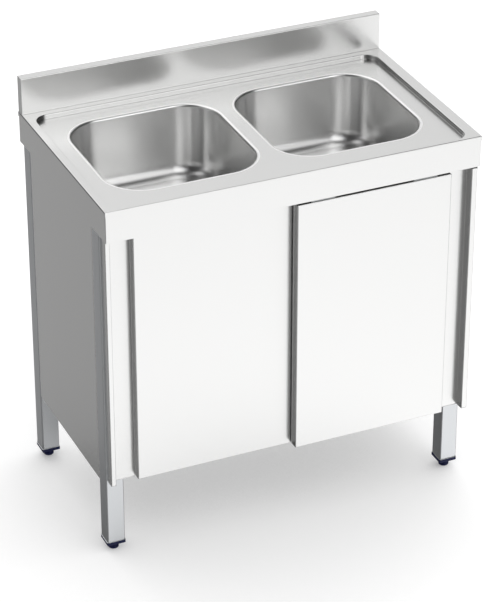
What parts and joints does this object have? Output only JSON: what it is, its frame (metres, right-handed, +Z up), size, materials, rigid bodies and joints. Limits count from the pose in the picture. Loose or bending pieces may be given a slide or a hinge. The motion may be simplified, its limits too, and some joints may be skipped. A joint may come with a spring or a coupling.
{
  "type": "kitchen sink unit",
  "caption": "Free-standing stainless steel sink unit: pressed bowls in a recessed worktop with an upstand, over a cabinet with sliding doors, on legs with levelling feet.",
  "frame": {"origin": "on the floor, under the middle of the unit's overall box", "axes": "+X to the unit's right when facing its doors, +Y to its back, +Z up"},
  "size_m": [0.85, 0.508, 0.936],
  "materials": {
    "satin_steel": "satin stainless steel sheet with a fine brushed grain",
    "tube_steel": "brushed square steel tube, a little darker than the sheet",
    "bowl_steel": "polished pressed stainless steel",
    "zinc_steel": "zinc-plated steel",
    "track_aluminium": "mill aluminium",
    "navy_plastic": "dark navy moulded plastic",
    "white_nylon": "natural nylon",
    "black_rubber": "matt black rubber",
    "grey_plastic": "grey moulded plastic",
    "deadening_board": "soft fibre board, hidden inside the doors"
  },
  "bodies": {
    "frame": {"worktop": "satin_steel", "bowl_left": "bowl_steel", "bowl_right": "bowl_steel", "drain_waste_left": "bowl_steel", "drain_waste_right": "bowl_steel", "drain_gasket_left": "black_rubber", "drain_gasket_right": "black_rubber", "drain_nut_left": "grey_plastic", "drain_nut_right": "grey_plastic", "leg_front_left": "tube_steel", "leg_front_right": "tube_steel", "leg_back_left": "tube_steel", "leg_back_right": "tube_steel", "foot_insert_front_left": "navy_plastic", "foot_insert_front_right": "navy_plastic", "foot_insert_back_left": "navy_plastic", "foot_insert_back_right": "navy_plastic", "side_panel_left": "satin_steel", "side_panel_right": "satin_steel", "back_panel": "satin_steel", "bottom_shelf": "satin_steel", "rail_front": "satin_steel", "rail_back": "satin_steel", "front_post_left": "satin_steel", "front_post_right": "satin_steel", "door_track": "track_aluminium", "left_door_stop_closed": "black_rubber", "left_door_stop_open": "black_rubber", "right_door_stop_closed": "black_rubber", "right_door_stop_open": "black_rubber", "door_guide_bracket": "zinc_steel", "door_guide_left": "white_nylon", "door_guide_right": "white_nylon"},
    "left_door": {"left_door_skin": "satin_steel", "left_door_liner": "satin_steel", "left_door_board": "deadening_board", "left_door_hanger_a": "zinc_steel", "left_door_hanger_b": "zinc_steel"},
    "right_door": {"right_door_skin": "satin_steel", "right_door_liner": "satin_steel", "right_door_board": "deadening_board", "right_door_hanger_a": "zinc_steel", "right_door_hanger_b": "zinc_steel"},
    "left_roller_a": {"left_door_roller_a": "white_nylon"},
    "left_roller_b": {"left_door_roller_b": "white_nylon"},
    "right_roller_a": {"right_door_roller_a": "white_nylon"},
    "right_roller_b": {"right_door_roller_b": "white_nylon"},
    "foot_front_left": {"foot_pad_front_left": "navy_plastic"},
    "foot_front_right": {"foot_pad_front_right": "navy_plastic"},
    "foot_back_left": {"foot_pad_back_left": "navy_plastic"},
    "foot_back_right": {"foot_pad_back_right": "navy_plastic"},
    "strainer_left": {"drain_strainer_left": "bowl_steel"},
    "strainer_right": {"drain_strainer_right": "bowl_steel"}
  },
  "joints": [
    {"name": "left_door_slide", "type": "slide", "parent": "frame", "child": "left_door", "axis": [1, 0, 0], "range_m": [0, 0.32]},
    {"name": "right_door_slide", "type": "slide", "parent": "frame", "child": "right_door", "axis": [-1, 0, 0], "range_m": [0, 0.32]},
    {"name": "left_roller_a_spin", "type": "hinge", "parent": "left_door", "child": "left_roller_a", "pos_m": [-0.2965, -0.2225, 0.812], "axis": [0, 1, 0], "range_deg": [0, 1931]},
    {"name": "left_roller_b_spin", "type": "hinge", "parent": "left_door", "child": "left_roller_b", "pos_m": [-0.04, -0.2225, 0.812], "axis": [0, 1, 0], "range_deg": [0, 1931]},
    {"name": "right_roller_a_spin", "type": "hinge", "parent": "right_door", "child": "right_roller_a", "pos_m": [0.06, -0.2401, 0.812], "axis": [0, -1, 0], "range_deg": [0, 1931]},
    {"name": "right_roller_b_spin", "type": "hinge", "parent": "right_door", "child": "right_roller_b", "pos_m": [0.297, -0.2401, 0.812], "axis": [0, -1, 0], "range_deg": [0, 1931]},
    {"name": "foot_front_left_screw", "type": "slide", "parent": "frame", "child": "foot_front_left", "axis": [0, 0, -1], "range_m": [0, 0.025]},
    {"name": "foot_front_right_screw", "type": "slide", "parent": "frame", "child": "foot_front_right", "axis": [0, 0, -1], "range_m": [0, 0.025]},
    {"name": "foot_back_left_screw", "type": "slide", "parent": "frame", "child": "foot_back_left", "axis": [0, 0, -1], "range_m": [0, 0.025]},
    {"name": "foot_back_right_screw", "type": "slide", "parent": "frame", "child": "foot_back_right", "axis": [0, 0, -1], "range_m": [0, 0.025]},
    {"name": "strainer_left_lift", "type": "slide", "parent": "frame", "child": "strainer_left", "axis": [0, 0, 1], "range_m": [0, 0.01]},
    {"name": "strainer_right_lift", "type": "slide", "parent": "frame", "child": "strainer_right", "axis": [0, 0, 1], "range_m": [0, 0.01]}
  ],
  "couplings": [
    {"joint": "left_roller_a_spin", "follows": "left_door_slide", "rad_per_m": 105.26},
    {"joint": "left_roller_b_spin", "follows": "left_door_slide", "rad_per_m": 105.26},
    {"joint": "right_roller_a_spin", "follows": "right_door_slide", "rad_per_m": 105.26},
    {"joint": "right_roller_b_spin", "follows": "right_door_slide", "rad_per_m": 105.26}
  ]
}
